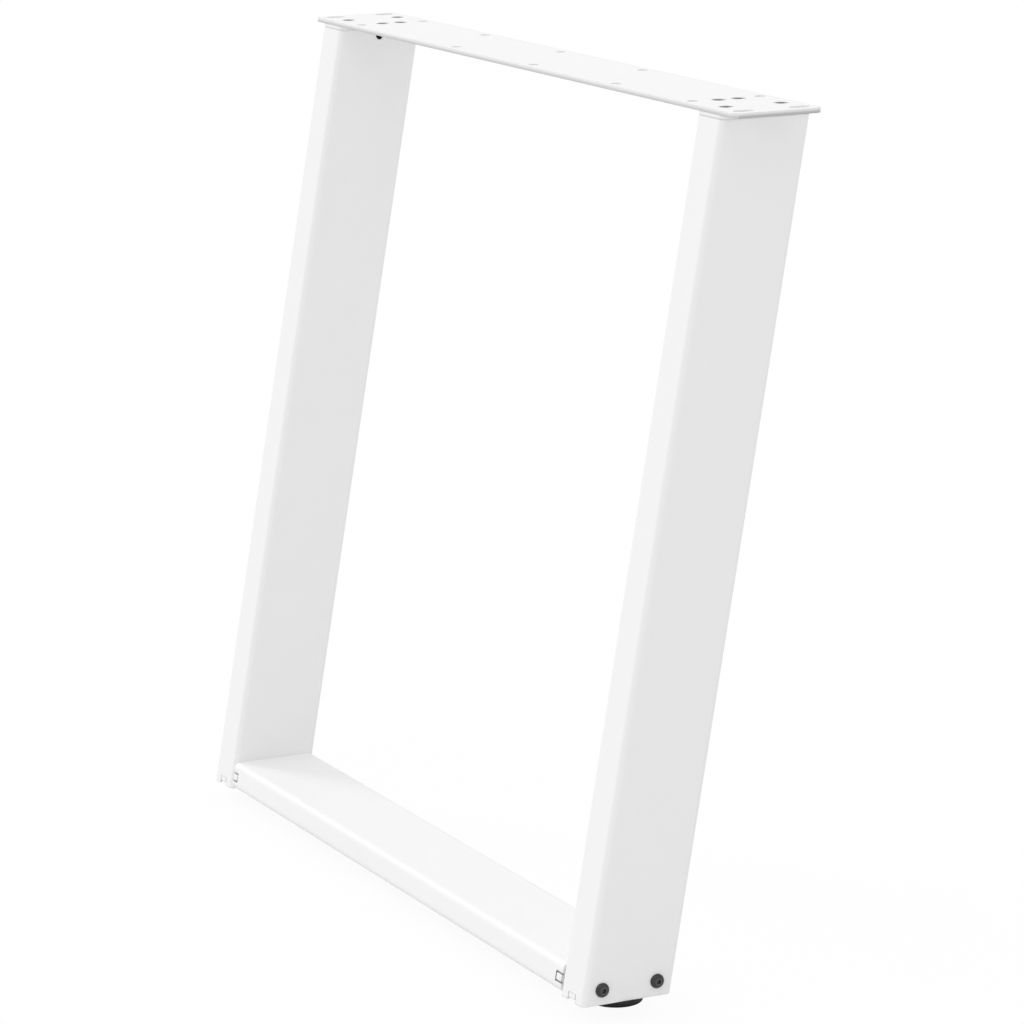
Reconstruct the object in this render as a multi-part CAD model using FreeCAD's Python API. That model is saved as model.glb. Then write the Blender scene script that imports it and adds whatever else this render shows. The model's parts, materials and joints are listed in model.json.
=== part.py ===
"""U-shaped table leg: a top plate, two leaning uprights and a bolted bottom bar on levelling feet.

Millimetres, +Z up. The origin is the centre of the plate's top face, where the table top rests.
+X runs along the plate, and the uprights lean so that their feet stand towards -Y.
"""
import FreeCAD, Part
import math
import os

from FreeCAD import Vector

# Overall frame
PLATE_LENGTH = 800.0
PLATE_DEPTH = 80.0
PLATE_THICKNESS = 4.0
PLATE_CORNER_RADIUS = 8.0
OVERALL_HEIGHT = 720.0
LEAN_DEGREES = 10.0

# Uprights, measured square to the tube
TUBE_DEPTH = 80.0
TUBE_WIDTH = 40.0
TUBE_WALL = 2.0
TUBE_CORNER_RADIUS = 5.0
UPRIGHT_INSET = 20.0
VENT_RADIUS = 3.5
VENT_DROP = 10.0

# Cap on each upright under the plate, and the groove left along its weld seam
CAP_THICKNESS = 3.0
SEAM_CHAMFER = 0.6

# Screw holes in the plate
HOLE_RADIUS = 4.5
SLOT_LENGTH = 18.0
SLOT_FROM_END = 13.0
TAPPED_RADIUS = 4.25
TAPPED_MOUTH_CHAMFER = 0.75
OUTER_TAPPED_FROM_END = 42.0
OUTER_PAIR_SPREAD = 50.0
INNER_TAPPED_FROM_END = 82.5
INNER_TAPPED_SPREAD = 18.0
SCREW_PAIR_FROM_END = 85.5
SCREW_ROW_SPREAD = 62.0
STAGGER_PITCH = 150.0
STAGGER_COUNT = 3
STAGGER_OFFSET = 35.0

# Bottom bar and its tapped end plates
BAR_HEIGHT = 25.0
BAR_WALL = 2.0
BAR_CORNER_RADIUS = 6.0
END_PLATE_THICKNESS = 10.0
END_TAB_HEIGHT = 6.0
TAB_GAP = 1.2

# Bolts and the spacer sleeves around them
BOLT_RADIUS = 3.0
BOLT_LENGTH = 50.0
BOLT_EDGE_DISTANCE = 15.0
BOLT_HEAD_RADIUS = 6.0
BOLT_HEAD_HEIGHT = 3.3
BOLT_HEAD_RIM = 0.9
BOLT_CROWN_RADIUS = 3.2
BOLT_DOME_FULLNESS = 0.62
BOLT_SOCKET_FLATS = 4.0
BOLT_SOCKET_DEPTH = 2.1
BOLT_TIP_CHAMFER = 0.6
BOLT_HOLE_CLEARANCE = 0.3
SLEEVE_WALL = 1.7

# Foot plates, notches, nuts and levelling feet
FOOT_PLATE_THICKNESS = 4.0
FOOT_PLATE_RECESS = 2.5
NOTCH_WIDTH = 13.0
NOTCH_GAP = 1.2
STUD_RADIUS = 5.0
STUD_HOLE_CLEARANCE = 0.5
NUT_RUNNING_CLEARANCE = 0.05
NUT_FLATS = 17.0
NUT_HEIGHT = 8.0
NUT_CROWN_CHAMFER = 0.5
STUD_SPARE = 17.0
STUD_TIP_CHAMFER = 0.8
PAD_RADIUS = 22.0
PAD_THICKNESS = 4.4
PAD_EDGE_CHAMFER = 0.7
PAD_FLOOR = 1.6
PAD_COLLAR_RADIUS = 9.0
PAD_COLLAR_CHAMFER = 0.5
PAD_CLEARANCE = 0.4

# Level cut through a leaning upright
lean = math.radians(LEAN_DEGREES)
lean_slope = math.tan(lean)
level_depth = TUBE_DEPTH / math.cos(lean)
level_inner_depth = (TUBE_DEPTH - 2 * TUBE_WALL) / math.cos(lean)
inner_width = TUBE_WIDTH - 2 * TUBE_WALL
inner_radius = TUBE_CORNER_RADIUS - TUBE_WALL

# Heights, from the plate's top face at zero
z_under_plate = -PLATE_THICKNESS
z_tube_top = z_under_plate - CAP_THICKNESS
z_floor = -OVERALL_HEIGHT
z_bottom = z_floor + PAD_THICKNESS + PAD_CLEARANCE
z_bolts = z_bottom + BAR_HEIGHT / 2
z_foot_plate = z_bottom + FOOT_PLATE_RECESS
z_nut = z_foot_plate + FOOT_PLATE_THICKNESS

# Places along the plate
x_outer = PLATE_LENGTH / 2 - UPRIGHT_INSET
x_inner = x_outer - TUBE_WIDTH
x_upright = (x_outer + x_inner) / 2

bolt_hole_radius = BOLT_RADIUS + BOLT_HOLE_CLEARANCE
bolt_spread = TUBE_DEPTH - 2 * BOLT_EDGE_DISTANCE
nut_reach = NUT_FLATS / 2 / math.cos(math.radians(30))
MARGIN = 1.0
UP = Vector(0, 0, 1)
SIDES = (("left", -1), ("right", 1))
ENDS = (("front", -1), ("back", 1))


def centre_y(z):
    """Front-to-back middle of the leaning uprights at height z."""
    return lean_slope * (z - z_under_plate)


y_foot = centre_y(z_bottom)
bolt_places = [(name, centre_y(z_bolts) + end * bolt_spread / 2) for name, end in ENDS]


def rounded_rectangle(x, y, z, width, depth, radius):
    """Closed wire of a level rectangle with rounded corners, centred on x, y."""
    half_w = width / 2
    half_d = depth / 2
    bend = radius * (1 - math.sqrt(0.5))
    arcs = []
    for sx, sy in ((1, -1), (1, 1), (-1, 1), (-1, -1)):
        on_end = Vector(x + sx * (half_w - radius), y + sy * half_d, z)
        on_side = Vector(x + sx * half_w, y + sy * (half_d - radius), z)
        middle = Vector(x + sx * (half_w - bend), y + sy * (half_d - bend), z)
        arcs.append((on_end, middle, on_side) if sx * sy < 0 else (on_side, middle, on_end))
    edges = []
    for index, (start, middle, end) in enumerate(arcs):
        following = arcs[(index + 1) % len(arcs)][0]
        edges.append(Part.Arc(start, middle, end).toShape())
        edges.append(Part.makeLine(end, following))
    return Part.Wire(edges)


def leaning_prism(x, width, depth, radius, z_low, z_high):
    """Rounded rectangular prism that follows the uprights' lean between two heights."""
    outline = rounded_rectangle(x, centre_y(z_low), z_low, width, depth, radius)
    rise = z_high - z_low
    return Part.Face(outline).extrude(Vector(0, lean_slope * rise, rise))


def rod_along_x(radius, x_start, x_end, y, z):
    """Cylinder along X between two places."""
    return Part.makeCylinder(radius, abs(x_end - x_start), Vector(min(x_start, x_end), y, z), Vector(1, 0, 0))


def rod_along_z(radius, z_low, z_high, x, y):
    """Cylinder along Z between two heights."""
    return Part.makeCylinder(radius, z_high - z_low, Vector(x, y, z_low), UP)


def hexagon(flats, centre, normal):
    """Face of a hexagon with the given width across flats."""
    reach = flats / 2 / math.cos(math.radians(30))
    across = Vector(0, 1, 0)
    other = normal.cross(across)
    points = []
    for step in range(7):
        angle = math.radians(60 * step + 30)
        points.append(centre + across * (reach * math.cos(angle)) + other * (reach * math.sin(angle)))
    return Part.Face(Part.makePolygon(points))


def rim_at(shape, z):
    """Edges of a shape that lie level at height z."""
    return [edge for edge in shape.Edges
            if abs(edge.BoundBox.ZMin - z) < 0.01 and abs(edge.BoundBox.ZMax - z) < 0.01]


def screw_hole(x, y):
    """Plain round cutter through the top plate."""
    return rod_along_z(HOLE_RADIUS, z_under_plate - MARGIN, MARGIN, x, y)


def tapped_hole(x, y, z_exit):
    """Cutter for a tapped hole from the plate's top face to z_exit, chamfered at both mouths."""
    mouth = TAPPED_RADIUS + TAPPED_MOUTH_CHAMFER
    shaft = rod_along_z(TAPPED_RADIUS, z_exit - MARGIN, MARGIN, x, y)
    top = Part.makeCone(TAPPED_RADIUS, mouth, TAPPED_MOUTH_CHAMFER, Vector(x, y, -TAPPED_MOUTH_CHAMFER), UP)
    bottom = Part.makeCone(mouth, TAPPED_RADIUS, TAPPED_MOUTH_CHAMFER, Vector(x, y, z_exit), UP)
    return shaft.fuse([top, bottom])


def outer_tapped_holes(side):
    """Cutters for the two tapped holes that run through the plate and the cap of one upright."""
    x = side * (PLATE_LENGTH / 2 - OUTER_TAPPED_FROM_END)
    return [tapped_hole(x, end * OUTER_PAIR_SPREAD / 2, z_tube_top) for _, end in ENDS]


def slot(x, y):
    """Slotted cutter through the top plate, long from front to back."""
    run = SLOT_LENGTH - 2 * HOLE_RADIUS
    middle = Part.makeBox(2 * HOLE_RADIUS, run, PLATE_THICKNESS + 2 * MARGIN,
                          Vector(x - HOLE_RADIUS, y - run / 2, z_under_plate - MARGIN))
    return middle.fuse([screw_hole(x, y - run / 2), screw_hole(x, y + run / 2)]).removeSplitter()


def build_top_plate():
    """Flat plate with end slots, tapped pairs, corner screw holes and two staggered rows."""
    outline = rounded_rectangle(0, 0, z_under_plate, PLATE_LENGTH, PLATE_DEPTH, PLATE_CORNER_RADIUS)
    plate = Part.Face(outline).extrude(Vector(0, 0, PLATE_THICKNESS))
    half = PLATE_LENGTH / 2
    cutters = []
    for _, side in SIDES:
        cutters += outer_tapped_holes(side)
        for _, end in ENDS:
            cutters.append(slot(side * (half - SLOT_FROM_END), end * OUTER_PAIR_SPREAD / 2))
            cutters.append(tapped_hole(side * (half - INNER_TAPPED_FROM_END), end * INNER_TAPPED_SPREAD / 2,
                                       z_under_plate))
            cutters.append(screw_hole(side * (half - SCREW_PAIR_FROM_END), end * SCREW_ROW_SPREAD / 2))
    for _, end in ENDS:
        for step in range(STAGGER_COUNT):
            x = -end * STAGGER_OFFSET + STAGGER_PITCH * (step - (STAGGER_COUNT - 1) / 2)
            cutters.append(screw_hole(x, end * SCREW_ROW_SPREAD / 2))
    return plate.cut(cutters)


def build_tube_cap(side):
    """Level cap with the upright's outline, its lower edge chamfered for the weld seam."""
    outline = rounded_rectangle(side * x_upright, centre_y(z_tube_top), z_tube_top, TUBE_WIDTH, level_depth,
                                TUBE_CORNER_RADIUS)
    cap = Part.Face(outline).extrude(Vector(0, 0, CAP_THICKNESS))
    cap = cap.makeChamfer(SEAM_CHAMFER, rim_at(cap, z_tube_top))
    return cap.cut(outer_tapped_holes(side))


def upright_outside(side):
    """Outer form of one upright, from its bottom edge to the bevelled edge under its cap."""
    x = side * x_upright
    z_bevel = z_tube_top - SEAM_CHAMFER
    form = leaning_prism(x, TUBE_WIDTH, level_depth, TUBE_CORNER_RADIUS, z_bottom, z_bevel)
    wide = rounded_rectangle(x, centre_y(z_bevel), z_bevel, TUBE_WIDTH, level_depth, TUBE_CORNER_RADIUS)
    narrow = rounded_rectangle(x, centre_y(z_tube_top), z_tube_top, TUBE_WIDTH - 2 * SEAM_CHAMFER,
                               level_depth - 2 * SEAM_CHAMFER, TUBE_CORNER_RADIUS - SEAM_CHAMFER)
    return form.fuse(Part.makeLoft([wide, narrow], True, True))


def build_upright(side):
    """Leaning rectangular tube with bolt holes, a vent hole and a notch in each narrow wall."""
    x = side * x_upright
    inside = leaning_prism(x, inner_width, level_inner_depth, inner_radius,
                           z_bottom - MARGIN, z_tube_top + MARGIN)
    cutters = [inside]
    for _, y in bolt_places:
        cutters.append(rod_along_x(bolt_hole_radius, side * (x_inner - MARGIN), side * (x_outer + MARGIN),
                                   y, z_bolts))
    z_vent = z_under_plate - VENT_DROP
    cutters.append(rod_along_x(VENT_RADIUS, side * (x_inner - MARGIN), x, centre_y(z_vent), z_vent))
    cutters.append(Part.makeBox(NOTCH_WIDTH, 2 * TUBE_DEPTH, z_nut - z_bottom + MARGIN,
                                Vector(x - NOTCH_WIDTH / 2, y_foot - TUBE_DEPTH, z_bottom - MARGIN)))
    return upright_outside(side).cut(cutters)


def bar_outline(x_start, x_end, inset, radius):
    """Prism along X whose front and back faces lean with the uprights, set in from the bar's skin."""
    run = x_end - x_start
    half = level_depth / 2 - inset / math.cos(lean)
    z_low = z_bottom + inset
    z_high = z_bottom + BAR_HEIGHT - inset
    corners = [Vector(x_start, centre_y(z) + end * half, z)
               for z, end in ((z_low, -1), (z_low, 1), (z_high, 1), (z_high, -1))]
    prism = Part.Face(Part.makePolygon(corners + corners[:1])).extrude(Vector(run, 0, 0))
    long_edges = [edge for edge in prism.Edges if edge.BoundBox.XLength > run / 2]
    return prism.makeFillet(radius, long_edges)


def tab_box(x_start, x_end, height):
    """Level box from front to back of the bar at its mid-height."""
    return Part.makeBox(abs(x_end - x_start), 2 * TUBE_DEPTH, height,
                        Vector(min(x_start, x_end), centre_y(z_bolts) - TUBE_DEPTH, z_bolts - height / 2))


def build_bottom_bar():
    """Tube between the uprights with an open-ended window in both long walls at each end."""
    skin = bar_outline(-x_inner, x_inner, 0.0, BAR_CORNER_RADIUS)
    cutters = [bar_outline(-x_inner - MARGIN, x_inner + MARGIN, BAR_WALL, BAR_CORNER_RADIUS - BAR_WALL)]
    for _, side in SIDES:
        cutters.append(tab_box(side * (x_inner - END_PLATE_THICKNESS - TAB_GAP), side * (x_inner + MARGIN),
                               END_TAB_HEIGHT + 2 * TAB_GAP))
    return skin.cut(cutters)


def build_bar_end_plate(side):
    """Tapped plate that fills the bar's end, with a tab in each window."""
    x_back = side * (x_inner - END_PLATE_THICKNESS)
    x_face = side * x_inner
    core = bar_outline(min(x_back, x_face), max(x_back, x_face), BAR_WALL, BAR_CORNER_RADIUS - BAR_WALL)
    skin = bar_outline(-x_inner, x_inner, 0.0, BAR_CORNER_RADIUS)
    tab = tab_box(x_back, x_face - side * TAB_GAP, END_TAB_HEIGHT).common(skin)
    holes = [rod_along_x(BOLT_RADIUS, x_back - side * MARGIN, x_face + side * MARGIN, y, z_bolts)
             for _, y in bolt_places]
    return core.fuse(tab).cut(holes).removeSplitter()


def build_foot_plate(side):
    """Plate that closes the upright above its bottom edge, with a tab in each notch."""
    x = side * x_upright
    plate = leaning_prism(x, inner_width, level_inner_depth, inner_radius, z_foot_plate, z_nut)
    strip = Part.makeBox(NOTCH_WIDTH - 2 * NOTCH_GAP, 2 * TUBE_DEPTH, FOOT_PLATE_THICKNESS,
                         Vector(x - NOTCH_WIDTH / 2 + NOTCH_GAP, y_foot - TUBE_DEPTH, z_foot_plate))
    hole = rod_along_z(STUD_RADIUS + STUD_HOLE_CLEARANCE, z_foot_plate - MARGIN, z_nut + MARGIN, x, y_foot)
    return plate.fuse(strip.common(upright_outside(side))).cut(hole).removeSplitter()


def build_foot_nut(side):
    """Weld nut on top of the foot plate, its upper corners chamfered."""
    x = side * x_upright
    z_top = z_nut + NUT_HEIGHT
    body = hexagon(NUT_FLATS, Vector(x, y_foot, z_nut), UP).extrude(Vector(0, 0, NUT_HEIGHT))
    crown_radius = NUT_FLATS / 2 - NUT_CROWN_CHAMFER
    cone_height = nut_reach + NUT_HEIGHT - crown_radius
    cone = Part.makeCone(nut_reach + NUT_HEIGHT, crown_radius, cone_height,
                         Vector(x, y_foot, z_top - cone_height), UP)
    bore = rod_along_z(STUD_RADIUS + NUT_RUNNING_CLEARANCE, z_nut - MARGIN, z_top + MARGIN, x, y_foot)
    return body.common(cone).cut(bore)


def build_foot_stud(side):
    """Threaded stud from the pad's socket up through plate and nut, its tip chamfered."""
    z_tip = z_nut + NUT_HEIGHT + STUD_SPARE
    stud = rod_along_z(STUD_RADIUS, z_floor + PAD_FLOOR, z_tip, side * x_upright, y_foot)
    return stud.makeChamfer(STUD_TIP_CHAMFER, rim_at(stud, z_tip))


def build_foot_pad(side):
    """Round pad with chamfered rims and a collar that hides inside the upright's recess."""
    x = side * x_upright
    z_collar = z_foot_plate - PAD_CLEARANCE
    z_disc_top = z_floor + PAD_THICKNESS
    disc = rod_along_z(PAD_RADIUS, z_floor, z_disc_top, x, y_foot)
    disc = disc.makeChamfer(PAD_EDGE_CHAMFER, rim_at(disc, z_floor) + rim_at(disc, z_disc_top))
    collar = rod_along_z(PAD_COLLAR_RADIUS, z_floor + PAD_FLOOR, z_collar, x, y_foot)
    collar = collar.makeChamfer(PAD_COLLAR_CHAMFER, rim_at(collar, z_collar))
    socket = rod_along_z(STUD_RADIUS, z_floor + PAD_FLOOR, z_collar + MARGIN, x, y_foot)
    return disc.fuse(collar).cut(socket).removeSplitter()


def build_bolt(side, y):
    """Button-head bolt with a hex socket, its head on the upright's outer face."""
    outward = Vector(side, 0, 0)
    seat = Vector(side * x_outer, y, z_bolts)

    def place(out, radius):
        """Point of the bolt's profile, at a distance outside the seat and from the axis."""
        return seat + outward * out + Vector(0, radius, 0)

    tip = place(-BOLT_LENGTH, 0)
    tip_rim = place(-BOLT_LENGTH, BOLT_RADIUS - BOLT_TIP_CHAMFER)
    shank_end = place(-BOLT_LENGTH + BOLT_TIP_CHAMFER, BOLT_RADIUS)
    shank_top = place(0, BOLT_RADIUS)
    head_edge = place(0, BOLT_HEAD_RADIUS)
    head_rim = place(BOLT_HEAD_RIM, BOLT_HEAD_RADIUS)
    dome = place(BOLT_HEAD_RIM + (BOLT_HEAD_HEIGHT - BOLT_HEAD_RIM) * BOLT_DOME_FULLNESS,
                 BOLT_CROWN_RADIUS + (BOLT_HEAD_RADIUS - BOLT_CROWN_RADIUS) * BOLT_DOME_FULLNESS)
    crown_rim = place(BOLT_HEAD_HEIGHT, BOLT_CROWN_RADIUS)
    crown = place(BOLT_HEAD_HEIGHT, 0)
    lower = Part.makePolygon([tip, tip_rim, shank_end, shank_top, head_edge, head_rim]).Edges
    upper = Part.makePolygon([crown_rim, crown, tip]).Edges
    profile = Part.Wire(lower + [Part.Arc(head_rim, dome, crown_rim).toShape()] + upper)
    bolt = Part.Face(profile).revolve(seat, outward, 360)
    socket_floor = seat + outward * (BOLT_HEAD_HEIGHT - BOLT_SOCKET_DEPTH)
    socket = hexagon(BOLT_SOCKET_FLATS, socket_floor, outward)
    return bolt.cut(socket.extrude(outward * (BOLT_SOCKET_DEPTH + MARGIN)))


def build_sleeve(side, y):
    """Spacer tube between the upright's two wide walls."""
    x_start = side * (x_inner + TUBE_WALL)
    x_end = side * (x_outer - TUBE_WALL)
    outside = rod_along_x(bolt_hole_radius + SLEEVE_WALL, x_start, x_end, y, z_bolts)
    inside = rod_along_x(bolt_hole_radius, x_start - side * MARGIN, x_end + side * MARGIN, y, z_bolts)
    return outside.cut(inside)


def build_all():
    """Every piece by node name."""
    pieces = {"top_plate": build_top_plate(), "bottom_bar": build_bottom_bar()}
    for side_name, side in SIDES:
        pieces["tube_cap_" + side_name] = build_tube_cap(side)
        pieces["upright_" + side_name] = build_upright(side)
        pieces["bar_end_plate_" + side_name] = build_bar_end_plate(side)
        pieces["foot_plate_" + side_name] = build_foot_plate(side)
        pieces["foot_nut_" + side_name] = build_foot_nut(side)
        pieces["foot_stud_" + side_name] = build_foot_stud(side)
        pieces["foot_pad_" + side_name] = build_foot_pad(side)
        for end_name, y in bolt_places:
            pieces["bolt_" + side_name + "_" + end_name] = build_bolt(side, y)
            pieces["sleeve_" + side_name + "_" + end_name] = build_sleeve(side, y)
    return pieces


os.makedirs("parts", exist_ok=True)
for node, shape in build_all().items():
    shape.exportStep("parts/" + node + ".step")
    print(node, "solids", len(shape.Solids), "valid", shape.isValid(), "cm3", round(shape.Volume / 1000, 2))
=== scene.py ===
"""Dresses the U-shaped table leg: powder coat, threads, bolts, feet and a small studio.

Metres, +Z up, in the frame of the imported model. The origin is the centre of the plate's top face.
"""

import json
import math
from collections import namedtuple
from functools import reduce

import bmesh
import bpy
from bpy.props import FloatProperty, FloatVectorProperty, IntProperty, PointerProperty
from bpy.types import Operator, Panel, PropertyGroup
from mathutils import Matrix, Vector


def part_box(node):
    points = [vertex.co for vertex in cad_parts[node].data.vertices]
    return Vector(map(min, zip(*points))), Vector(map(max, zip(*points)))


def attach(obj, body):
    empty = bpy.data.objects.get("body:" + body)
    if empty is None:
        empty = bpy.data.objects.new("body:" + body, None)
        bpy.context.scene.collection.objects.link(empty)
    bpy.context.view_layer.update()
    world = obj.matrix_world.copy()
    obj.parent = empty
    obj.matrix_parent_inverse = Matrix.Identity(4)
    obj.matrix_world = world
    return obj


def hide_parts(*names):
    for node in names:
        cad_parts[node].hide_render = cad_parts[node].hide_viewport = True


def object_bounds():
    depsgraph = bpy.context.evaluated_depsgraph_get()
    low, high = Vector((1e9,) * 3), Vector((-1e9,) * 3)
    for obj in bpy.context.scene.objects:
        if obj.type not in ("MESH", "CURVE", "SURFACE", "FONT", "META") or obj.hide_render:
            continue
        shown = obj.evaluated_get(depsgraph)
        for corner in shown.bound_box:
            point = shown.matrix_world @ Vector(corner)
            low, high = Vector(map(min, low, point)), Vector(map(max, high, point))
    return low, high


bl_info = {
    "name": "Table Leg Finish",
    "version": (1, 0, 0),
    "blender": (4, 5, 0),
    "location": "3D View > Sidebar > Table Leg",
    "description": "Finishes a U-shaped steel table leg and sets it in a pale studio",
    "category": "Object",
}

MM = 0.001
SIDES = ("left", "right")
ENDS = ("front", "back")
WHITE = (1.0, 1.0, 1.0, 1.0)

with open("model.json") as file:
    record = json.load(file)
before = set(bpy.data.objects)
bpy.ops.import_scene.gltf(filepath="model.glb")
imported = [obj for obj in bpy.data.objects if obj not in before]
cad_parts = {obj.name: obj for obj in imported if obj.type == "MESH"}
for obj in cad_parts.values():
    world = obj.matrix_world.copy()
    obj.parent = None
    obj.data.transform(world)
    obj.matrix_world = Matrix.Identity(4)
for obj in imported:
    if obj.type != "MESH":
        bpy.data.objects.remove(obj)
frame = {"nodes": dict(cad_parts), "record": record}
NODES = frame["nodes"]
MOUNTS = {mount["name"]: mount for mount in frame["record"]["mounts"]}
cad_low, cad_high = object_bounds()

# Patterns of tapped holes, with the lowest piece that each runs through
TAPPED = {"outer_threads": "tube_cap_right", "inner_threads": "top_plate"}

# A thread's foot lies in the metal by this share of its radius
BURIED = 0.01

# Half of a ridge's foot and half of its crest, as shares of the pitch
RIDGE_FOOT = 0.49
RIDGE_CREST = 0.12

# Sides of a stud's core, and the angle from which a thread's edges stay sharp
CORE_SIDES = 48
SHARP_DEGREES = 30

# A face counts as facing along an axis when its normal's share along that axis is larger than this
FACING = 0.5
FACING_PLATE_END = 0.7
FACING_SEAM = 0.3

# Powder coat: clouds in its colour, blotches in its sheen, and the strength of its reflections
COAT_CLOUD = 40 * MM
COAT_CLOUD_TONE = 0.985
COAT_SHEEN = 9 * MM
COAT_SHEEN_SPREAD = 0.08
COAT_SPECULAR = 0.35

# The painted shade on the plate's sides is darkest from this share of the plate's thickness down
SIDE_SHADE_FROM = 0.8

# How metallic the tapped holes and the dark steel rims round them are
RIM_METALLIC = 0.5

# How near the bar's end a face counts as part of it, and how much painted shade such a face and a tab's top
# get
BAR_END_REACH = 3 * MM
BAR_END_SHADE = 0.15
OVER_TAB_SHADE = 0.5

# Metal: blotches in its colour and in its sheen, and its grain
METAL_BLOTCH = 3 * MM
METAL_BLOTCH_TONE = 0.8
METAL_SHEEN = 1.2 * MM
METAL_GRAIN = 0.5 * MM
METAL_GRAIN_HEIGHT = 0.004 * MM

# Spread of a metal's roughness, how metallic it is, and how far its edges are rounded
Finish = namedtuple("Finish", "spread metallic edge_radius")
BLACK_OXIDE = Finish(0.12, 0.6, 0.35 * MM)
BARE_STEEL = Finish(0.1, 0.5, 0.15 * MM)
ZINC_PLATE = Finish(0.12, 1.0, 0.15 * MM)
BARE_STEEL_ROUGHNESS = 0.5

# Width of the passage from a socket's painted light to the black head
SOCKET_BORDER = 0.4 * MM

# Plastic: blotches in its colour and in its sheen, its grain, its edges and its reflections
PLASTIC_BLOTCH = 6 * MM
PLASTIC_BLOTCH_TONE = 1.5
PLASTIC_SHEEN = 2 * MM
PLASTIC_SHEEN_SPREAD = 0.1
PLASTIC_GRAIN = 0.4 * MM
PLASTIC_GRAIN_HEIGHT = 0.01 * MM
PLASTIC_EDGE_RADIUS = 0.2 * MM
PLASTIC_SPECULAR = 0.15

# Heights over a pad's bottom between which its painted contact shade fades
SOLE_LOW = 0.5 * MM
SOLE_HIGH = 4 * MM

# Samples for rounded edges, and how fine the soft clouds and the blotches break up
EDGE_SAMPLES = 6
CLOUD_DETAIL = 2.0
BLOTCH_DETAIL = 3.0

# Floor: half its side, its colour, and the distances between which its shadow fades away
FLOOR_REACH = 12.0
FLOOR_TONE = (0.87, 0.87, 0.87, 1.0)
SHADOW_NEAR = 1.0
SHADOW_FAR = 2.0

# Direction towards each lamp, and how many degrees wide the lamp looks
OVERHEAD = ((0.12, -0.42, 0.90), 50)
LEFT_SIDE = ((-0.80, -0.34, 0.50), 18)

# Farthest that the camera sees
VIEW_REACH = 100.0


# Settings


def colour(name, description, default):
    """Property for a base colour, as linear red, green and blue."""
    return FloatVectorProperty(name=name, description=description, subtype="COLOR", size=3,
                               min=0.0, max=1.0, default=default)


def length(name, description, default):
    """Property for a length in metres."""
    return FloatProperty(name=name, description=description, subtype="DISTANCE", unit="LENGTH",
                         precision=5, min=0.0, default=default)


def share(name, description, default):
    """Property for a number from 0 to 1."""
    return FloatProperty(name=name, description=description, subtype="FACTOR",
                         min=0.0, max=1.0, default=default)


def angle(name, description, degrees):
    """Property for an angle, given in degrees and kept in radians."""
    return FloatProperty(name=name, description=description, subtype="ANGLE",
                         default=math.radians(degrees))


def number(name, description, default):
    """Property for a plain number."""
    return FloatProperty(name=name, description=description, default=default)


class CoatSettings(PropertyGroup):
    """White powder coat on the welded steel."""

    tone: colour("Coat", "Colour of the powder coat", (0.86, 0.86, 0.86))
    # Painted shade: these two colours darken the plate's long sides and short ends towards the bottom
    edge_shade_tone: colour("Cut Edge", "Colour of the thin coat low on the plate's cut edges", (0.6, 0.6, 0.6))
    end_shade_tone: colour("Plate End", "Colour low on the plate's two short ends", (0.47, 0.47, 0.47))
    # Painted shade in the groove of the seam under the plate
    seam_shade_tone: colour("Seam", "Colour in the seam under the plate", (0.77, 0.77, 0.77))
    # Painted shade in the gaps beside the windows' tabs
    gap_shade_tone: colour("Gaps", "Colour of the bare metal beside the windows' tabs", (0.12, 0.12, 0.12))
    seam_reach: length("Seam Reach", "Half the height of the seam under the plate", 0.8 * MM)
    window_reach: length("Window Reach", "Half the height of the bar's windows", 4.3 * MM)
    roughness: share("Roughness", "Roughness of the cured coat", 0.56)
    grain: length("Grain", "Size of the fine orange peel in the coat", 1.6 * MM)
    grain_height: length("Grain Height", "Height of the orange peel", 0.012 * MM)
    edge_radius: length("Edge Radius", "How far the coat rounds the uprights' edges", 1.2 * MM)
    bar_edge_radius: length("Bar Edge Radius", "How far the coat rounds the bar's edges", 2.4 * MM)
    plate_edge_radius: length("Plate Edge Radius", "How far the coat rounds the plate's edges", 1.1 * MM)


class SteelSettings(PropertyGroup):
    """Bare, blackened and plated steel, and the moulded pads."""

    black_tone: colour("Black Oxide", "Colour of the bolts", (0.05, 0.05, 0.051))
    # Painted light: the hex sockets are lightened against their shade
    socket_light_tone: colour("Socket", "Colour of the worn hex sockets", (0.09, 0.09, 0.092))
    socket_radius: length("Socket Radius", "Radius of a worn hex socket", 2.9 * MM)
    black_roughness: share("Black Oxide Roughness", "Roughness of the bolts", 0.42)
    thread_tone: colour("Tapped Threads", "Colour of the bare threads in the plate", (0.33, 0.33, 0.335))
    # The plate's top fades into the threads' dark steel over this distance round each tapped hole
    dark_rim: length("Worn Rim", "How far the coat thins round a tapped hole", 3.0 * MM)
    zinc_tone: colour("Zinc", "Colour of studs, nuts and sleeves", (0.62, 0.64, 0.66))
    zinc_roughness: share("Zinc Roughness", "Roughness of studs, nuts and sleeves", 0.3)
    plastic_tone: colour("Pads", "Colour of the moulded pads", (0.016, 0.016, 0.017))
    # Painted contact shade at the pads' lowest edge
    sole_shade_tone: colour("Soles", "Colour of the pads' lowest edge", (0.003, 0.003, 0.003))
    plastic_roughness: share("Pad Roughness", "Roughness of the moulded pads", 0.5)


class ThreadSettings(PropertyGroup):
    """Coarse metric thread of the studs and the tapped holes."""

    pitch: length("Pitch", "Rise of the thread in one turn", 1.5 * MM)
    height: length("Height", "Height of the studs' thread", 0.85 * MM)
    crest: length("Crest", "How far the tapped threads stand into their holes", 0.22 * MM)
    resolution: IntProperty(name="Resolution", description="Points in one turn", min=8, max=96, default=32)


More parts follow.
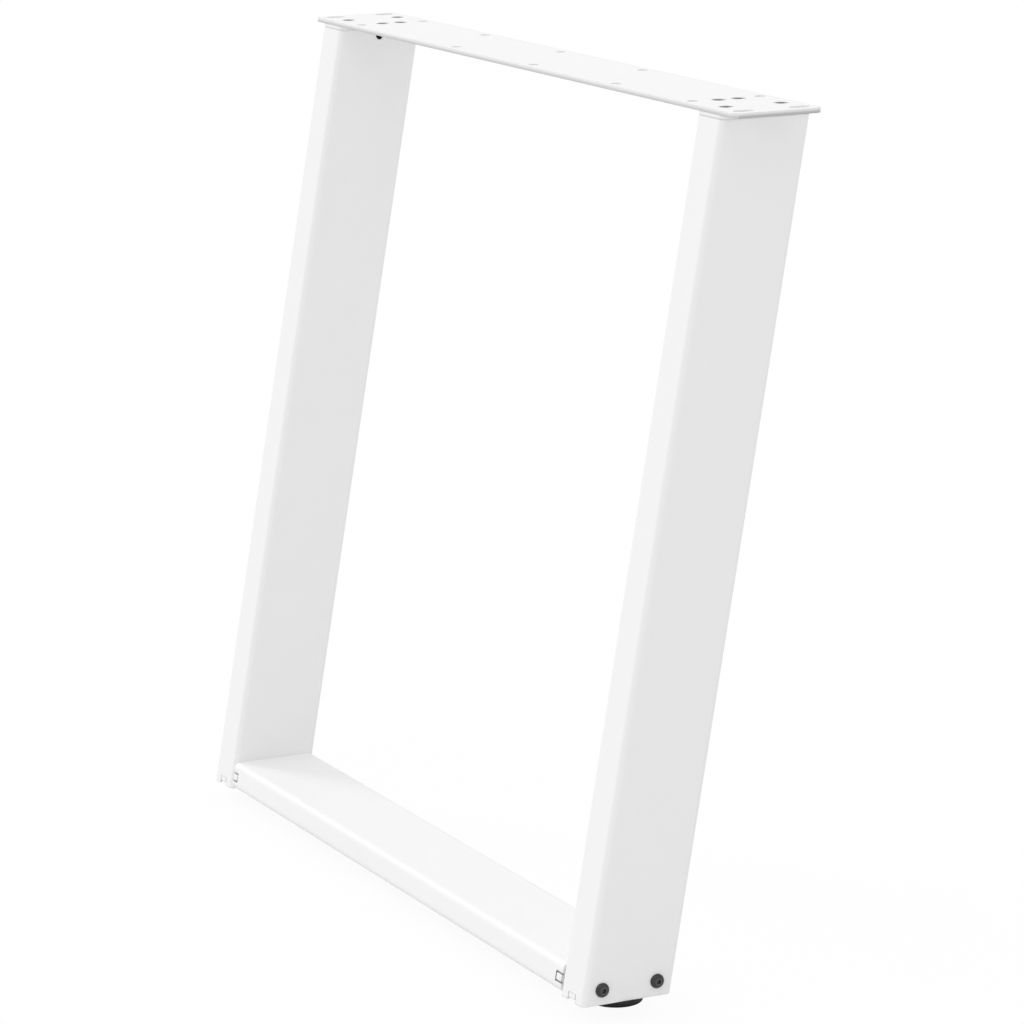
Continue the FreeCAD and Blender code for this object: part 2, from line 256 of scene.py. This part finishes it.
class StageSettings(PropertyGroup):
    """Camera, floor and light."""

    azimuth: angle("Azimuth", "Camera's turn round the leg", 63.59)
    elevation: angle("Elevation", "Camera's height above the horizon", 12.5)
    roll: angle("Roll", "Camera's turn about its own axis", 0.4)
    distance: length("Distance", "Camera's distance from the middle of the leg", 3932 * MM)
    aside: FloatProperty(name="Aside", description="Camera's shift to its right", unit="LENGTH",
                         default=-33.2 * MM)
    lower: FloatProperty(name="Lower", description="Camera's shift downwards", unit="LENGTH",
                         default=38.0 * MM)
    lens: number("Lens", "Focal length in millimetres", 157.9)
    sky: number("Sky", "Brightness of the surrounding room", 0.84)
    overhead: number("Overhead", "Strength of the broad light from above", 0.48)
    side: number("Side", "Strength of the light from the left and front", 0.7)
    floor_glow: share("Floor Glow", "How much the floor's shadow is lightened", 0.94)


class LegSettings(PropertyGroup):
    """Every setting of the table leg."""

    coat: PointerProperty(type=CoatSettings)
    steel: PointerProperty(type=SteelSettings)
    thread: PointerProperty(type=ThreadSettings)
    stage: PointerProperty(type=StageSettings)


# Node trees


class Value:
    """An output socket. Sums on it add the Math nodes that work them out."""

    def __init__(self, tree, socket):
        self.tree = tree
        self.socket = socket

    def maths(self, operation, *terms):
        """Adds one Math node on these terms."""
        return self.tree.add("ShaderNodeMath", {"operation": operation}, dict(enumerate(terms)))

    def __add__(self, other):
        return self.maths("ADD", self, other)

    __radd__ = __add__

    def __sub__(self, other):
        return self.maths("SUBTRACT", self, other)

    def __rsub__(self, other):
        return self.maths("SUBTRACT", other, self)

    def __mul__(self, other):
        return self.maths("MULTIPLY", self, other)

    __rmul__ = __mul__

    def __truediv__(self, other):
        return self.maths("DIVIDE", self, other)

    def __lt__(self, other):
        return self.maths("LESS_THAN", self, other)

    def __gt__(self, other):
        return self.maths("GREATER_THAN", self, other)

    def __abs__(self):
        return self.maths("ABSOLUTE", self)

    def root(self):
        """The square root."""
        return self.maths("SQRT", self)

    def larger(self, other):
        """The larger of the two."""
        return self.maths("MAXIMUM", self, other)

    def fades(self, start, end):
        """1 up to the start, 0 from the end on, and a smooth passage between."""
        limits = {"Value": self, "From Min": start, "From Max": end, "To Min": 1.0, "To Max": 0.0}
        return self.tree.add("ShaderNodeMapRange", {"interpolation_type": "SMOOTHSTEP"}, limits)

    def out(self, name):
        """Another output of the same node."""
        return Value(self.tree, self.socket.node.outputs[name])


class Tree:
    """Adds nodes to one node tree."""

    def __init__(self, tree):
        self.tree = tree

    def add(self, kind, settings=None, inputs=None, output=0):
        """One node: its type, its settings, and the values or links of its sockets."""
        node = self.tree.nodes.new(kind)
        for name, setting in (settings or {}).items():
            setattr(node, name, setting)
        for key, value in (inputs or {}).items():
            for item in value if isinstance(value, list) else [value]:
                self.feed(node.inputs[key], item)
        return Value(self, node.outputs[output]) if node.outputs else node

    def feed(self, socket, value):
        """Links a Value to a socket, or sets the socket's own number."""
        if isinstance(value, Value):
            self.tree.links.new(value.socket, socket)
        else:
            socket.default_value = value


def rgba(tone):
    """A colour property as four numbers."""
    return (*tone, 1.0)


# Materials


def new_material(name):
    """Empty material with its node tree."""
    material = bpy.data.materials.new(name)
    material.use_nodes = True
    material.node_tree.nodes.clear()
    return material, Tree(material.node_tree)


def surface(tree, inputs):
    """Principled surface joined to the material's output."""
    shader = tree.add("ShaderNodeBsdfPrincipled", {}, inputs)
    tree.add("ShaderNodeOutputMaterial", {}, {"Surface": shader})


def noise(tree, size, detail=CLOUD_DETAIL):
    """Noise on Object coordinates whose blotches are about this size."""
    place = tree.add("ShaderNodeTexCoord").out("Object")
    return tree.add("ShaderNodeTexNoise", {}, {"Vector": place, "Scale": 1.0 / size, "Detail": detail})


def uneven(tree, size, middle, spread):
    """Roughness that changes in blotches of this size, about a middle value."""
    return noise(tree, size) * spread + (middle - spread / 2)


def bumped(tree, height, depth, edge_radius):
    """Normal of a bumpy surface with softened edges."""
    rounded = tree.add("ShaderNodeBevel", {"samples": EDGE_SAMPLES}, {"Radius": edge_radius})
    inputs = {"Height": height, "Distance": depth, "Strength": 1.0, "Normal": rounded}
    return tree.add("ShaderNodeBump", {}, inputs)


def mixed(tree, factor, first, second):
    """Colour between two colours or sockets."""
    return tree.add("ShaderNodeMix", {"data_type": "RGBA"}, {"Factor": factor, 6: first, 7: second}, 2)


def blotched(tree, tone, size, change, detail=BLOTCH_DETAIL):
    """Colour with soft blotches that are this much lighter or darker."""
    return mixed(tree, noise(tree, size, detail), rgba(tone), rgba([change * part for part in tone]))


def coat_surface(tree, coat, edge_radius, base, metallic=0.0):
    """Cured coat with fine orange peel over a base colour, its edges softened."""
    rough = uneven(tree, COAT_SHEEN, coat.roughness, COAT_SHEEN_SPREAD)
    normal = bumped(tree, noise(tree, coat.grain), coat.grain_height, edge_radius)
    surface(tree, {"Base Color": base, "Roughness": rough, "Normal": normal, "Metallic": metallic,
                   "Specular IOR Level": COAT_SPECULAR})


def coat_colour(tree, coat):
    """The coat's colour, very slightly uneven."""
    return blotched(tree, coat.tone, COAT_CLOUD, COAT_CLOUD_TONE, CLOUD_DETAIL)


def along_axes(tree, name):
    """The place (Object) or the normal (Normal) in the object's own frame, as outputs X, Y and Z."""
    coordinates = tree.add("ShaderNodeTexCoord").out(name)
    return tree.add("ShaderNodeSeparateXYZ", {}, {"Vector": coordinates})


def near_axes(first, second, axes, radius, border):
    """1 within a radius of any of these parallel axes, fading to 0 over the border."""
    near = []
    for one, two in axes:
        across = first - one
        along = second - two
        distance = (across * across + along * along).root()
        near.append(distance.fades(radius, radius + border))
    return reduce(Value.larger, near)


def in_seam(coat, place, facing):
    """Where shade is painted into the weld seam under the top plate: 1 on its front and back, and 0
    elsewhere.
    """
    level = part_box("upright_right")[1].z
    return (abs(place.out("Z") - level) < coat.seam_reach) * (abs(facing.out("Y")) > FACING_SEAM)


def in_window(coat, place, facing):
    """Painted shade in the gaps round the windows' tabs: full on the cuts towards the bar's ends, less over
    the tabs.
    """
    low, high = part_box("bolt_right_front")
    level = (low.z + high.z) / 2
    cut = (abs(facing.out("X")) > FACING) * (facing.out("X") * place.out("X") > 0.0)
    at_end = abs(place.out("X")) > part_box("bottom_bar")[1].x - BAR_END_REACH
    over_tab = abs(facing.out("Z")) > FACING
    # Painted shade: full on the cuts, less on the bar's end and over the tabs
    bare = cut * (1 - at_end * (1 - BAR_END_SHADE)) + over_tab * OVER_TAB_SHADE
    return (abs(place.out("Z") - level) < coat.window_reach) * bare


def coat_material(name, coat, edge_radius, shaded_area, shade_tone):
    """Powder coat on the tubes and the plates that close them, with painted shade in one area."""
    material, tree = new_material(name)
    shaded = shaded_area(coat, along_axes(tree, "Object"), along_axes(tree, "Normal"))
    base = mixed(tree, shaded, coat_colour(tree, coat), rgba(shade_tone))
    coat_surface(tree, coat, edge_radius, base)
    return material


def plate_material(name, coat, steel):
    """Powder coat on the top plate: painted shade low on its cut edges, and bare steel in the tapped holes
    that fades out round them.
    """
    material, tree = new_material(name)
    place = along_axes(tree, "Object")
    facing = along_axes(tree, "Normal")
    on_side = abs(facing.out("Z")) < FACING
    end_x = cad_high.x - coat.plate_edge_radius
    on_end = (abs(place.out("X")) > end_x) * (abs(facing.out("X")) > FACING_PLATE_END)
    # Painted shade: the plate's sides darken towards the bottom
    low = place.out("Z").fades(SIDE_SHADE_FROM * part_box("top_plate")[0].z, cad_high.z)
    cut = mixed(tree, on_end, rgba(coat.edge_shade_tone), rgba(coat.end_shade_tone))
    coated = mixed(tree, on_side * low, coat_colour(tree, coat), cut)
    rims = []
    for pattern in TAPPED:
        dims = MOUNTS[pattern]["dims"]
        axis = (dims["spacing_x_mm"] / 2 * MM, dims["spacing_y_mm"] / 2 * MM)
        rims.append(near_axes(abs(place.out("X")), abs(place.out("Y")), [axis],
                              dims["hole_r_mm"] * MM, steel.dark_rim))
    bare = reduce(Value.larger, rims)
    base = mixed(tree, bare, coated, rgba(steel.thread_tone))
    coat_surface(tree, coat, coat.plate_edge_radius, base, bare * RIM_METALLIC)
    return material


def metal_surface(tree, base, roughness, finish):
    """Metal with a slightly uneven sheen."""
    rough = uneven(tree, METAL_SHEEN, roughness, finish.spread)
    normal = bumped(tree, noise(tree, METAL_GRAIN), METAL_GRAIN_HEIGHT, finish.edge_radius)
    surface(tree, {"Base Color": base, "Roughness": rough, "Normal": normal, "Metallic": finish.metallic})


def metal_material(name, tone, roughness, finish):
    """Metal of one kind all over."""
    material, tree = new_material(name)
    metal_surface(tree, blotched(tree, tone, METAL_BLOTCH, METAL_BLOTCH_TONE), roughness, finish)
    return material


def bolt_material(name, steel):
    """Black oxide, painted lighter in the hex sockets to lift their shade."""
    material, tree = new_material(name)
    place = along_axes(tree, "Object")
    axes = []
    for end in ENDS:
        low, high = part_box(f"bolt_right_{end}")
        axes.append(((low.y + high.y) / 2, (low.z + high.z) / 2))
    brightened = near_axes(place.out("Y"), place.out("Z"), axes, steel.socket_radius, SOCKET_BORDER)
    black = blotched(tree, steel.black_tone, METAL_BLOTCH, METAL_BLOTCH_TONE)
    base = mixed(tree, brightened, black, rgba(steel.socket_light_tone))
    metal_surface(tree, base, steel.black_roughness, BLACK_OXIDE)
    return material


def plastic_material(name, steel):
    """Moulded plastic with a fine spark-eroded texture, and painted contact shade darkest at the floor."""
    material, tree = new_material(name)
    sole_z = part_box("foot_pad_right")[0].z
    sole_shade = along_axes(tree, "Object").out("Z").fades(sole_z + SOLE_LOW, sole_z + SOLE_HIGH)
    black = blotched(tree, steel.plastic_tone, PLASTIC_BLOTCH, PLASTIC_BLOTCH_TONE)
    base = mixed(tree, sole_shade, black, rgba(steel.sole_shade_tone))
    rough = uneven(tree, PLASTIC_SHEEN, steel.plastic_roughness, PLASTIC_SHEEN_SPREAD)
    normal = bumped(tree, noise(tree, PLASTIC_GRAIN), PLASTIC_GRAIN_HEIGHT, PLASTIC_EDGE_RADIUS)
    surface(tree, {"Base Color": base, "Roughness": rough, "Normal": normal,
                   "Specular IOR Level": PLASTIC_SPECULAR})
    return material


def dress(material, *names):
    """Gives CAD nodes a material in every slot."""
    for name in names:
        mesh = NODES[name].data
        if not mesh.materials:
            mesh.materials.append(material)
        for index in range(len(mesh.materials)):
            mesh.materials[index] = material


# Geometry Nodes


def geometry_tree(name, sizes):
    """New geometry tree with a named input for each size, and one for the material."""
    group = bpy.data.node_groups.new(name, "GeometryNodeTree")
    group.interface.new_socket("Geometry", in_out="OUTPUT", socket_type="NodeSocketGeometry")
    for size, default in sizes.items():
        kind = "NodeSocketInt" if isinstance(default, int) else "NodeSocketFloat"
        group.interface.new_socket(size, in_out="INPUT", socket_type=kind).default_value = default
    group.interface.new_socket("Material", in_out="INPUT", socket_type="NodeSocketMaterial")
    tree = Tree(group)
    inputs = tree.add("NodeGroupInput")
    return tree, {size: inputs.out(size) for size in [*sizes, "Material"]}


def close_tree(tree, geometry, material):
    """Ends a geometry tree with real meshes that carry their material."""
    real = tree.add("GeometryNodeRealizeInstances", {}, {"Geometry": geometry})
    painted = tree.add("GeometryNodeSetMaterial", {}, {"Geometry": real, "Material": material})
    tree.add("NodeGroupOutput", {}, {"Geometry": painted})
    return tree.tree


def grow(name, group, values):
    """Runs a geometry tree with these values and keeps the result as a plain mesh that faces outwards."""
    seed = bpy.data.objects.new(name + "_seed", bpy.data.meshes.new(name + "_seed"))
    bpy.context.scene.collection.objects.link(seed)
    modifier = seed.modifiers.new("nodes", "NODES")
    modifier.node_group = group
    sockets = [item for item in group.interface.items_tree if item.in_out == "INPUT"]
    identifiers = {socket.name: socket.identifier for socket in sockets}
    for size, value in values.items():
        modifier[identifiers[size]] = value
    depsgraph = bpy.context.evaluated_depsgraph_get()
    mesh = bpy.data.meshes.new_from_object(seed.evaluated_get(depsgraph), depsgraph=depsgraph)
    mesh.name = name
    shape = bmesh.new()
    shape.from_mesh(mesh)
    bmesh.ops.recalc_face_normals(shape, faces=shape.faces)
    shape.to_mesh(mesh)
    shape.free()
    bpy.data.objects.remove(seed)
    piece = bpy.data.objects.new(name, mesh)
    bpy.context.scene.collection.objects.link(piece)
    return piece


def soften(piece, degrees):
    """Smooth shading with sharp edges above this angle."""
    piece.data.shade_smooth()
    piece.data.set_sharp_from_angle(angle=math.radians(degrees))


def moved(tree, geometry, x=0.0, y=0.0, z=0.0):
    """Geometry moved by three numbers or sockets."""
    shift = tree.add("ShaderNodeCombineXYZ", {}, {"X": x, "Y": y, "Z": z})
    return tree.add("GeometryNodeTransform", {}, {"Geometry": geometry, "Translation": shift})


def thread_ridge(tree, size):
    """Helical ridge from z = 0: its foot at the root radius, its crest outside it, or inside if negative."""
    path = tree.add("GeometryNodeCurveSpiral", {}, {
        "Resolution": size["Resolution"], "Rotations": size["Length"] / size["Pitch"],
        "Start Radius": size["Root Radius"], "End Radius": size["Root Radius"], "Height": size["Length"]})
    path = tree.add("GeometryNodeSetCurveNormal", {"mode": "Z_UP"}, {"Curve": path})
    foot = size["Pitch"] * RIDGE_FOOT
    crest = size["Pitch"] * RIDGE_CREST
    outward = size["Crest"] * -1
    outline = ((0.0, foot), (0.0, foot * -1), (outward, crest * -1), (outward, crest))
    corners = {}
    for count, (x, y) in enumerate(outline, 1):
        corners[f"Point {count}"] = tree.add("ShaderNodeCombineXYZ", {}, {"X": x, "Y": y})
    profile = tree.add("GeometryNodeCurvePrimitiveQuadrilateral", {"mode": "POINTS"}, corners)
    return tree.add("GeometryNodeCurveToMesh", {},
                    {"Curve": path, "Profile Curve": profile, "Fill Caps": True})


def stud_tree():
    """Threaded stud from z = 0: a core, and a helical ridge that keeps half a pitch from its ends."""
    tree, size = geometry_tree("threaded_stud", {
        "Root Radius": 4.2 * MM, "Crest": 0.8 * MM, "Pitch": 1.5 * MM, "Length": 30 * MM, "Resolution": 32,
        "X": 0.0, "Y": 0.0, "Z": 0.0})
    ridge = moved(tree, thread_ridge(tree, size), z=size["Pitch"] / 2)
    height = size["Length"] + size["Pitch"]
    core = tree.add("GeometryNodeMeshCylinder", {}, {
        "Vertices": CORE_SIDES, "Radius": size["Root Radius"] * (1 + BURIED), "Depth": height})
    core = moved(tree, core, z=height / 2)
    both = tree.add("GeometryNodeJoinGeometry", {}, {"Geometry": [ridge, core]})
    placed = moved(tree, both, size["X"], size["Y"], size["Z"])
    return close_tree(tree, placed, size["Material"])


def tapped_tree():
    """Helical ridges in the four tapped holes of one pattern."""
    tree, size = geometry_tree("tapped_threads", {
        "Root Radius": 4.2 * MM, "Crest": -0.2 * MM, "Pitch": 1.5 * MM, "Length": 3 * MM, "Resolution": 32,
        "Spacing X": 700 * MM, "Spacing Y": 50 * MM, "Z": 0.0})
    ridge = thread_ridge(tree, size)
    holes = tree.add("GeometryNodeMeshGrid", {}, {"Size X": size["Spacing X"], "Size Y": size["Spacing Y"],
                                                  "Vertices X": 2, "Vertices Y": 2})
    copies = tree.add("GeometryNodeInstanceOnPoints", {}, {"Points": holes, "Instance": ridge})
    return close_tree(tree, moved(tree, copies, z=size["Z"]), size["Material"])


# Operators


class LEG_OT_coat(Operator):
    """Powder coat the plate, uprights, bar and closing plates"""

    bl_idname = "table_leg.coat"
    bl_label = "Powder Coat"

    def execute(self, context):
        settings = context.scene.table_leg
        coat = settings.coat
        dress(plate_material("white_powder_coat_plate", coat, settings.steel), "top_plate")
        seamed = coat_material("white_powder_coat", coat, coat.edge_radius, in_seam, coat.seam_shade_tone)
        windowed = coat_material("white_powder_coat_bar", coat, coat.bar_edge_radius, in_window,
                                 coat.gap_shade_tone)
        for side in SIDES:
            dress(seamed, f"upright_{side}", f"tube_cap_{side}", f"foot_plate_{side}")
            dress(windowed, f"bar_end_plate_{side}")
        dress(windowed, "bottom_bar")
        return {"FINISHED"}


class LEG_OT_bolts(Operator):
    """Blacken the button-head bolts"""

    bl_idname = "table_leg.bolts"
    bl_label = "Bolts"

    def execute(self, context):
        steel = context.scene.table_leg.steel
        black = bolt_material("black_oxide_steel", steel)
        dress(black, *[f"bolt_{side}_{end}" for side in SIDES for end in ENDS])
        return {"FINISHED"}


class LEG_OT_threads(Operator):
    """Cut the threads of the tapped holes and of the studs"""

    bl_idname = "table_leg.threads"
    bl_label = "Threads"

    def execute(self, context):
        settings = context.scene.table_leg
        steel = settings.steel
        bare = metal_material("bare_thread_steel", steel.thread_tone, BARE_STEEL_ROUGHNESS, BARE_STEEL)
        zinc = metal_material("zinc_plated_steel", steel.zinc_tone, steel.zinc_roughness, ZINC_PLATE)
        self.tap_holes(settings.thread, bare)
        self.thread_studs(settings.thread, zinc)
        dress(zinc, *[f"foot_nut_{side}" for side in SIDES],
              *[f"sleeve_{side}_{end}" for side in SIDES for end in ENDS])
        return {"FINISHED"}

    @staticmethod
    def tap_holes(thread, bare):
        """Thread ridges in the plate's tapped holes, one piece for each pattern."""
        tapped = tapped_tree()
        for pattern, lowest in TAPPED.items():
            dims = MOUNTS[pattern]["dims"]
            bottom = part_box(lowest)[0].z
            piece = grow(f"{pattern}_ridges", tapped, {
                "Root Radius": dims["hole_r_mm"] * (1 + BURIED) * MM, "Crest": -thread.crest,
                "Pitch": thread.pitch, "Length": cad_high.z - bottom - thread.pitch,
                "Resolution": thread.resolution,
                "Spacing X": dims["spacing_x_mm"] * MM, "Spacing Y": dims["spacing_y_mm"] * MM,
                "Z": bottom + thread.pitch / 2, "Material": bare})
            soften(piece, SHARP_DEGREES)
            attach(piece, "frame")

    @staticmethod
    def thread_studs(thread, zinc):
        """Threaded studs in the place of the plain ones."""
        studs = stud_tree()
        for side in SIDES:
            node = f"foot_stud_{side}"
            low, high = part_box(node)
            middle = (low + high) / 2
            root = (high.x - low.x) / 2 - thread.height
            piece = grow(f"threaded_stud_{side}", studs, {
                "Root Radius": root, "Crest": thread.height, "Pitch": thread.pitch,
                "Length": high.z - low.z - thread.pitch, "Resolution": thread.resolution,
                "X": middle.x, "Y": middle.y, "Z": low.z, "Material": zinc})
            soften(piece, SHARP_DEGREES)
            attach(piece, f"foot_{side}")
            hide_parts(node)


class LEG_OT_pads(Operator):
    """Mould the black pads of the levelling feet"""

    bl_idname = "table_leg.pads"
    bl_label = "Foot Pads"

    def execute(self, context):
        steel = context.scene.table_leg.steel
        plastic = plastic_material("black_moulded_plastic", steel)
        dress(plastic, *[f"foot_pad_{side}" for side in SIDES])
        return {"FINISHED"}


class LEG_OT_stage(Operator):
    """Set up the floor, the light and the camera"""

    bl_idname = "table_leg.stage"
    bl_label = "Studio"

    def execute(self, context):
        stage = context.scene.table_leg.stage
        self.lay_floor(stage)
        self.light_room(context, stage)
        self.place_camera(context, stage)
        context.scene.view_settings.view_transform = "Standard"
        return {"FINISHED"}

    @staticmethod
    def seen_directly(tree):
        """1 for rays from the camera, a mirror or a glass, and 0 for the light that falls on things."""
        camera_ray = tree.add("ShaderNodeLightPath")
        glossy_ray = camera_ray.out("Is Glossy Ray")
        return camera_ray.larger(glossy_ray).larger(camera_ray.out("Is Transmission Ray"))

    def lay_floor(self, stage):
        """Pale floor under the fully screwed out feet. Its shadow is light near them and gone far away."""
        height = cad_low.z - max(joint["range_m"][1] for joint in frame["record"]["behaviour"]["joints"])
        corners = ((-1, -1), (1, -1), (1, 1), (-1, 1))
        mesh = bpy.data.meshes.new("studio_floor")
        places = [(x * FLOOR_REACH, y * FLOOR_REACH, height) for x, y in corners]
        mesh.from_pydata(places, [], [(0, 1, 2, 3)])
        floor = bpy.data.objects.new("studio_floor", mesh)
        bpy.context.scene.collection.objects.link(floor)
        material, tree = new_material("studio_floor")
        place = tree.add("ShaderNodeTexCoord").out("Object")
        span = tree.add("ShaderNodeVectorMath", {"operation": "LENGTH"}, {0: place}, "Value")
        far = 1 - span.fades(SHADOW_NEAR, SHADOW_FAR)
        glow = self.seen_directly(tree) * far.larger(stage.floor_glow)
        matt = tree.add("ShaderNodeBsdfDiffuse", {}, {"Color": FLOOR_TONE})
        light = tree.add("ShaderNodeEmission", {}, {"Color": WHITE, "Strength": 1.0})
        both = tree.add("ShaderNodeMixShader", {}, {0: glow, 1: matt, 2: light})
        tree.add("ShaderNodeOutputMaterial", {}, {"Surface": both})
        mesh.materials.append(material)

    def light_room(self, context, stage):
        """White room with a broad light from above and a narrower one from the left and front."""
        world = bpy.data.worlds.new("studio_room")
        world.use_nodes = True
        world.node_tree.nodes.clear()
        tree = Tree(world.node_tree)
        strength = self.seen_directly(tree) * (1.0 - stage.sky) + stage.sky
        room = tree.add("ShaderNodeBackground", {}, {"Color": WHITE, "Strength": strength})
        tree.add("ShaderNodeOutputWorld", {}, {"Surface": room})
        context.scene.world = world
        self.shine(context, "overhead", stage.overhead, *OVERHEAD)
        self.shine(context, "left_side", stage.side, *LEFT_SIDE)

    @staticmethod
    def shine(context, name, strength, towards, width):
        """Light that comes from one direction and looks this many degrees wide."""
        lamp = bpy.data.lights.new(name, "SUN")
        lamp.energy = strength
        lamp.angle = math.radians(width)
        placed = bpy.data.objects.new(name, lamp)
        placed.rotation_euler = Vector(towards).to_track_quat("Z", "Y").to_euler()
        context.scene.collection.objects.link(placed)

    @staticmethod
    def place_camera(context, stage):
        """Camera at its distance from the leg's middle, moved aside and down, with a centred lens."""
        azimuth, elevation, roll = stage.azimuth, stage.elevation, stage.roll
        back = Vector((math.sin(azimuth) * math.cos(elevation), -math.cos(azimuth) * math.cos(elevation),
                       math.sin(elevation)))
        right = Vector((math.cos(azimuth), math.sin(azimuth), 0.0))
        up = back.cross(right)
        turned_right = right * math.cos(roll) - up * math.sin(roll)
        turned_up = right * math.sin(roll) + up * math.cos(roll)
        middle = Vector((0.0, 0.0, (cad_low.z + cad_high.z) / 2))
        place = middle + back * stage.distance + turned_right * stage.aside - turned_up * stage.lower
        turn = Matrix((turned_right, turned_up, back)).transposed()
        camera = bpy.data.objects.new("camera", bpy.data.cameras.new("camera"))
        camera.data.lens = stage.lens
        camera.data.clip_end = VIEW_REACH
        camera.matrix_world = Matrix.Translation(place) @ turn.to_4x4()
        context.scene.collection.objects.link(camera)
        context.scene.camera = camera


OPERATORS = (LEG_OT_coat, LEG_OT_bolts, LEG_OT_threads, LEG_OT_pads, LEG_OT_stage)


class LEG_PT_panel(Panel):
    """Lists the table leg's pieces in the sidebar"""

    bl_idname = "LEG_PT_panel"
    bl_label = "Table Leg"
    bl_space_type = "VIEW_3D"
    bl_region_type = "UI"
    bl_category = "Table Leg"

    def draw(self, context):
        settings = context.scene.table_leg
        for operator in OPERATORS:
            self.layout.operator(operator.bl_idname)
        for group in (settings.coat, settings.steel, settings.thread, settings.stage):
            box = self.layout.box()
            for name in group.__annotations__:
                box.prop(group, name)


CLASSES = (CoatSettings, SteelSettings, ThreadSettings, StageSettings, LegSettings,
           *OPERATORS, LEG_PT_panel)


def register():
    """Adds the classes and the settings to Blender."""
    for item in CLASSES:
        bpy.utils.register_class(item)
    bpy.types.Scene.table_leg = PointerProperty(type=LegSettings)


def unregister():
    """Takes them away again."""
    del bpy.types.Scene.table_leg
    for item in reversed(CLASSES):
        bpy.utils.unregister_class(item)


def main():
    """Adds the classes and makes every piece in turn."""
    register()
    for operator in OPERATORS:
        group, name = operator.bl_idname.split(".")
        getattr(getattr(bpy.ops, group), name)()


if __name__ == "__main__":
    main()
